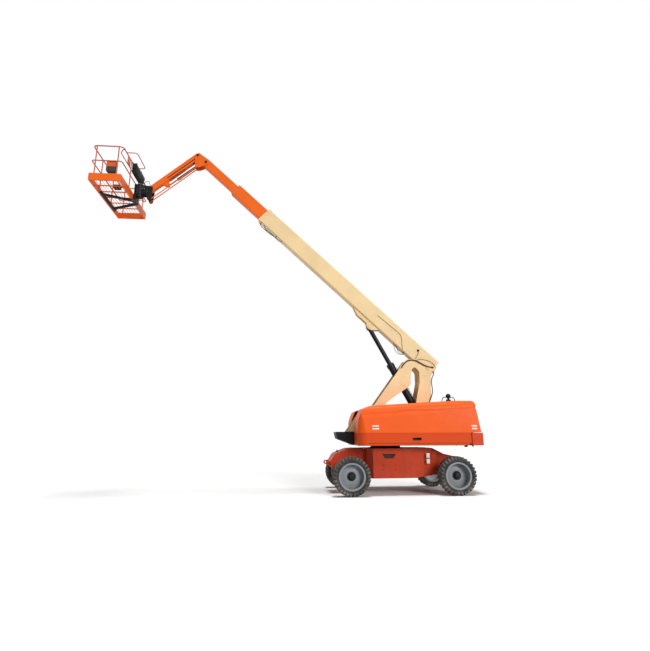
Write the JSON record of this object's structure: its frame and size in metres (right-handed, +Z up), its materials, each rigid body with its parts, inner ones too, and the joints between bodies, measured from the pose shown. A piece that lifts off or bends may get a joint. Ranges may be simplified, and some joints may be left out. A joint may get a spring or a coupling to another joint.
{
  "type": "telescopic boom lift",
  "caption": "Self-propelled telescopic boom lift with a swinging jib, a work platform that stays level, swing-up side covers and a slewing turntable.",
  "frame": {"origin": "on the ground, at the middle of the machine's length and width as it stands", "axes": "+X forward towards the platform end, +Y to the machine's left, +Z up; the machine is almost symmetric about the XZ plane"},
  "size_m": [10.6048, 2.5, 9.9348],
  "materials": {
    "paint_orange": "gloss enamel",
    "paint_cream": "gloss enamel",
    "paint_black": "satin enamel",
    "tyre": "moulded rubber",
    "engine_iron": "cast",
    "paint_grey": "gloss enamel",
    "dark_rod": "nitrided and polished",
    "chrome_rod": "ground and plated",
    "plastic_black": "moulded",
    "plastic_orange": "moulded",
    "hose_rubber": "matt"
  },
  "bodies": {
    "chassis": {"chassis_frame": "paint_orange", "front_axle": "paint_orange", "rear_axle": "paint_orange", "slew_ring": "paint_black"},
    "knuckle_left": {"knuckle_left": "paint_orange"},
    "knuckle_right": {"knuckle_right": "paint_orange"},
    "tie_rod": {"tie_rod": "paint_orange"},
    "wheel_front_left": {"tyre_front_left": "tyre", "rim_front_left": "paint_grey", "hub_front_left": "paint_black"},
    "wheel_front_right": {"tyre_front_right": "tyre", "rim_front_right": "paint_grey", "hub_front_right": "paint_black"},
    "wheel_rear_left": {"tyre_rear_left": "tyre", "rim_rear_left": "paint_grey", "hub_rear_left": "paint_black"},
    "wheel_rear_right": {"tyre_rear_right": "tyre", "rim_rear_right": "paint_grey", "hub_rear_right": "paint_black"},
    "turntable": {"turntable_deck": "paint_black", "turntable_nose": "paint_black", "boom_upright": "paint_cream", "counterweight": "paint_orange", "engine_block": "engine_iron", "boom_hose": "hose_rubber", "upright_hose": "hose_rubber"},
    "hood_left": {"hood_left": "paint_orange", "hood_beacon": "plastic_black"},
    "hood_right": {"hood_right": "paint_orange"},
    "base_boom": {"base_boom": "paint_cream", "hose_guide": "paint_black"},
    "mid_boom": {"mid_boom": "paint_orange"},
    "fly_boom": {"fly_boom": "paint_orange"},
    "lift_barrel": {"lift_cylinder_barrel": "paint_black"},
    "lift_rod": {"lift_cylinder_rod": "dark_rod"},
    "nose_bracket": {"nose_bracket": "paint_orange"},
    "jib": {"jib_boom": "paint_orange", "jib_hose": "hose_rubber"},
    "jib_barrel": {"jib_cylinder_barrel": "paint_black"},
    "jib_rod": {"jib_cylinder_rod": "chrome_rod"},
    "level_links": {"level_links": "paint_orange"},
    "platform_support": {"platform_support": "paint_black"},
    "platform": {"platform_mount": "paint_black", "platform_floor": "paint_orange", "platform_rails": "paint_orange", "control_console": "plastic_black", "console_guard": "paint_orange", "tool_box": "plastic_orange"},
    "entry_bar": {"entry_bar": "paint_orange"}
  },
  "joints": [
    {"name": "slew", "type": "hinge", "parent": "chassis", "child": "turntable", "pos_m": [-2.90242, 0, 1.19], "axis": [0, 0, 1], "continuous": true},
    {"name": "steer_left", "type": "hinge", "parent": "chassis", "child": "knuckle_left", "pos_m": [-1.81542, 0.845, 0.467], "axis": [0, 0, 1], "range_deg": [-35, 35]},
    {"name": "wheel_front_left_spin", "type": "hinge", "parent": "knuckle_left", "child": "wheel_front_left", "pos_m": [-1.81542, 1.0725, 0.467], "axis": [0, 1, 0], "continuous": true},
    {"name": "wheel_rear_left_spin", "type": "hinge", "parent": "chassis", "child": "wheel_rear_left", "pos_m": [-4.46542, 1.0725, 0.467], "axis": [0, 1, 0], "continuous": true},
    {"name": "steer_right", "type": "hinge", "parent": "chassis", "child": "knuckle_right", "pos_m": [-1.81542, -0.845, 0.467], "axis": [0, 0, 1], "range_deg": [-35, 35]},
    {"name": "wheel_front_right_spin", "type": "hinge", "parent": "knuckle_right", "child": "wheel_front_right", "pos_m": [-1.81542, -1.0725, 0.467], "axis": [0, 1, 0], "continuous": true},
    {"name": "wheel_rear_right_spin", "type": "hinge", "parent": "chassis", "child": "wheel_rear_right", "pos_m": [-4.46542, -1.0725, 0.467], "axis": [0, 1, 0], "continuous": true},
    {"name": "tie_rod_slide", "type": "slide", "parent": "chassis", "child": "tie_rod", "axis": [0, 1, 0], "range_m": [-0.1058, 0.1058]},
    {"name": "hood_left_hinge", "type": "hinge", "parent": "turntable", "child": "hood_left", "pos_m": [-2.90242, 0.329, 2.21532], "axis": [0.9982, 0, -0.0597], "range_deg": [0, 45]},
    {"name": "hood_right_hinge", "type": "hinge", "parent": "turntable", "child": "hood_right", "pos_m": [-2.90242, -0.329, 2.21532], "axis": [-0.9982, 0, 0.0597], "range_deg": [0, 45]},
    {"name": "boom_lift", "type": "hinge", "parent": "turntable", "child": "base_boom", "pos_m": [-4.16242, 0, 3.29], "axis": [0, -1, 0], "range_deg": [-45, 29]},
    {"name": "mid_slide", "type": "slide", "parent": "base_boom", "child": "mid_boom", "axis": [0.7302, 0, 0.6833], "range_m": [-0.9, 3.6]},
    {"name": "fly_slide", "type": "slide", "parent": "mid_boom", "child": "fly_boom", "axis": [0.7302, 0, 0.6833], "range_m": [-0.9, 3.6]},
    {"name": "lift_barrel_swing", "type": "hinge", "parent": "turntable", "child": "lift_barrel", "pos_m": [-3.99042, 0, 1.8], "axis": [0, -1, 0], "range_deg": [-27.5, 17.9]},
    {"name": "lift_rod_slide", "type": "slide", "parent": "lift_barrel", "child": "lift_rod", "axis": [0.4736, 0, 0.8807], "range_m": [-0.8532, 0.5516]},
    {"name": "platform_level", "type": "hinge", "parent": "fly_boom", "child": "nose_bracket", "pos_m": [2.39448, 0, 9.61894], "axis": [0, -1, 0], "range_deg": [-29.5, 45.5]},
    {"name": "jib_lift", "type": "hinge", "parent": "nose_bracket", "child": "jib", "pos_m": [2.65248, 0, 9.83994], "axis": [0, -1, 0], "range_deg": [-18.2, 111.8]},
    {"name": "jib_barrel_swing", "type": "hinge", "parent": "nose_bracket", "child": "jib_barrel", "pos_m": [2.63248, 0, 9.55494], "axis": [0, -1, 0], "range_deg": [-17.88, 107.27]},
    {"name": "jib_rod_slide", "type": "slide", "parent": "jib_barrel", "child": "jib_rod", "axis": [0.7518, 0, -0.6594], "range_m": [-0.0814, 0.4898]},
    {"name": "level_link_swing", "type": "hinge", "parent": "nose_bracket", "child": "level_links", "pos_m": [2.65248, 0, 9.47994], "axis": [0, -1, 0], "range_deg": [-18.7, 112.3]},
    {"name": "support_level", "type": "hinge", "parent": "jib", "child": "platform_support", "pos_m": [3.97242, 0, 8.65978], "axis": [0, -1, 0], "range_deg": [-112.3, 18.7]},
    {"name": "platform_rotate", "type": "hinge", "parent": "platform_support", "child": "platform", "pos_m": [4.29742, 0, 8.65978], "axis": [0, 0, 1], "range_deg": [-90, 90]},
    {"name": "entry_bar_slide", "type": "slide", "parent": "platform", "child": "entry_bar", "axis": [0, 0, 1], "range_m": [0, 0.33]}
  ],
  "couplings": [
    {"joint": "steer_right", "follows": "steer_left", "ratio": 1},
    {"joint": "tie_rod_slide", "follows": "steer_left", "m_per_rad": -0.17},
    {"joint": "fly_slide", "follows": "mid_slide", "ratio": 1},
    {"joint": "lift_barrel_swing", "follows": "boom_lift", "ratio": 0.6},
    {"joint": "lift_rod_slide", "follows": "boom_lift", "m_per_rad": 1.08},
    {"joint": "platform_level", "follows": "boom_lift", "ratio": -1},
    {"joint": "jib_barrel_swing", "follows": "jib_lift", "ratio": 0.955},
    {"joint": "jib_rod_slide", "follows": "jib_lift", "m_per_rad": 0.25},
    {"joint": "level_link_swing", "follows": "jib_lift", "ratio": 1},
    {"joint": "support_level", "follows": "jib_lift", "ratio": -1}
  ]
}
